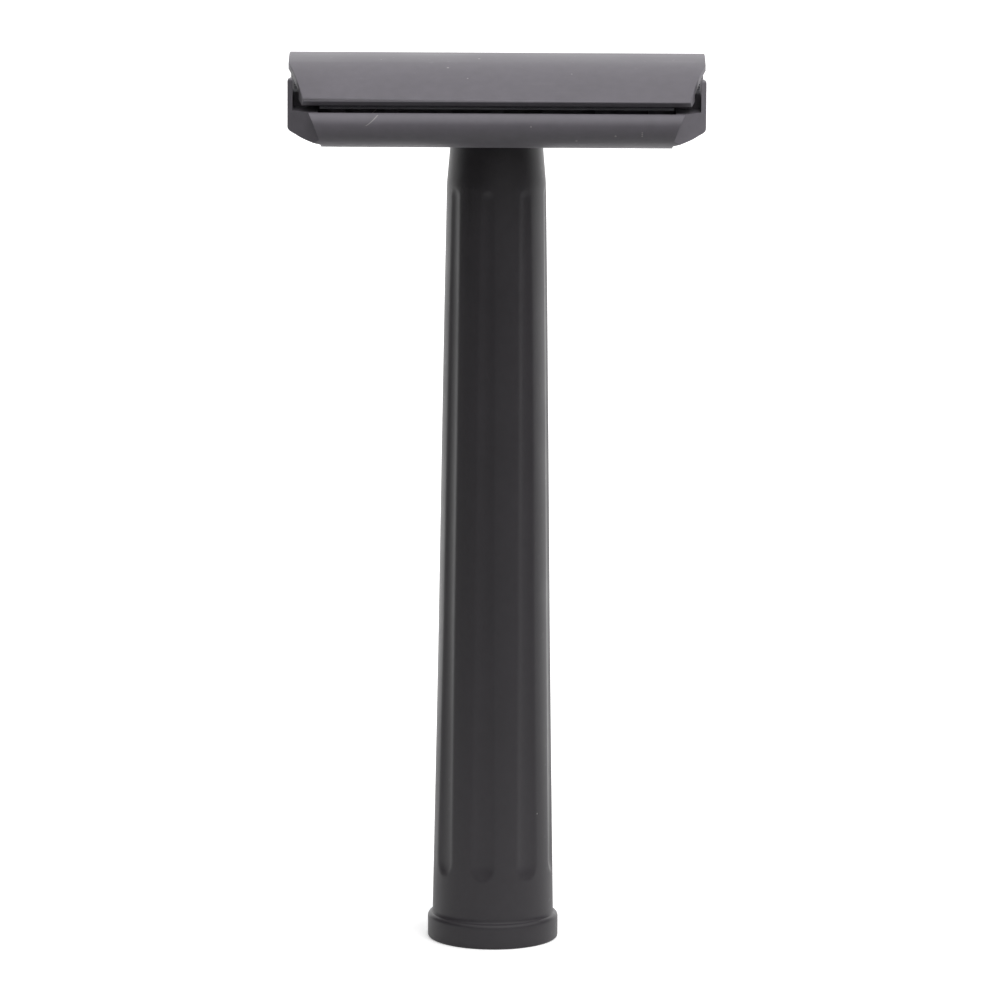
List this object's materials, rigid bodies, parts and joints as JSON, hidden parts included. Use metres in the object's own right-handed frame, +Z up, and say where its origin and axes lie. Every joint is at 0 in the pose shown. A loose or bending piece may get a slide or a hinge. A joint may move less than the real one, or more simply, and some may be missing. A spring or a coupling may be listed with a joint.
{
  "type": "safety razor",
  "caption": "Double-edge safety razor: curved cap with chamfered corners, guarded base plate and a tapered, fluted grip on a round foot.",
  "frame": {"origin": "centre of the foot's flat face", "axes": "+Z up the handle to the cap; X along the head; the cutting edges face -Y and +Y, and -Y is the front"},
  "size_m": [0.0442, 0.025, 0.0962],
  "materials": {
    "head_plastic": "satin charcoal",
    "grip_plastic": "satin charcoal",
    "blade_steel": "ground and polished strip",
    "screw_steel": "machined",
    "brass": "turned",
    "rod_steel": "mill finish"
  },
  "bodies": {
    "handle": {"handle_shell": "grip_plastic", "threaded_insert": "brass", "balance_weight": "rod_steel", "foot_collar": "grip_plastic"},
    "plate": {"base_plate": "head_plastic"},
    "blade": {"blade": "blade_steel"},
    "cap": {"cap": "head_plastic", "threaded_stud": "screw_steel"}
  },
  "joints": [
    {"name": "head_turn", "type": "hinge", "parent": "handle", "child": "plate", "pos_m": [0, 0, 0.08725], "axis": [0, 0, 1], "range_deg": [0, 4230]},
    {"name": "cap_rise", "type": "slide", "parent": "plate", "child": "cap", "axis": [0, 0, 1], "range_m": [0, 0.0095]},
    {"name": "blade_rise", "type": "slide", "parent": "plate", "child": "blade", "axis": [0, 0, 1], "range_m": [0, 0.0048]}
  ],
  "couplings": [
    {"joint": "cap_rise", "follows": "head_turn", "m_per_rad": 0.00012732},
    {"joint": "blade_rise", "follows": "head_turn", "m_per_rad": 0.000063662}
  ]
}
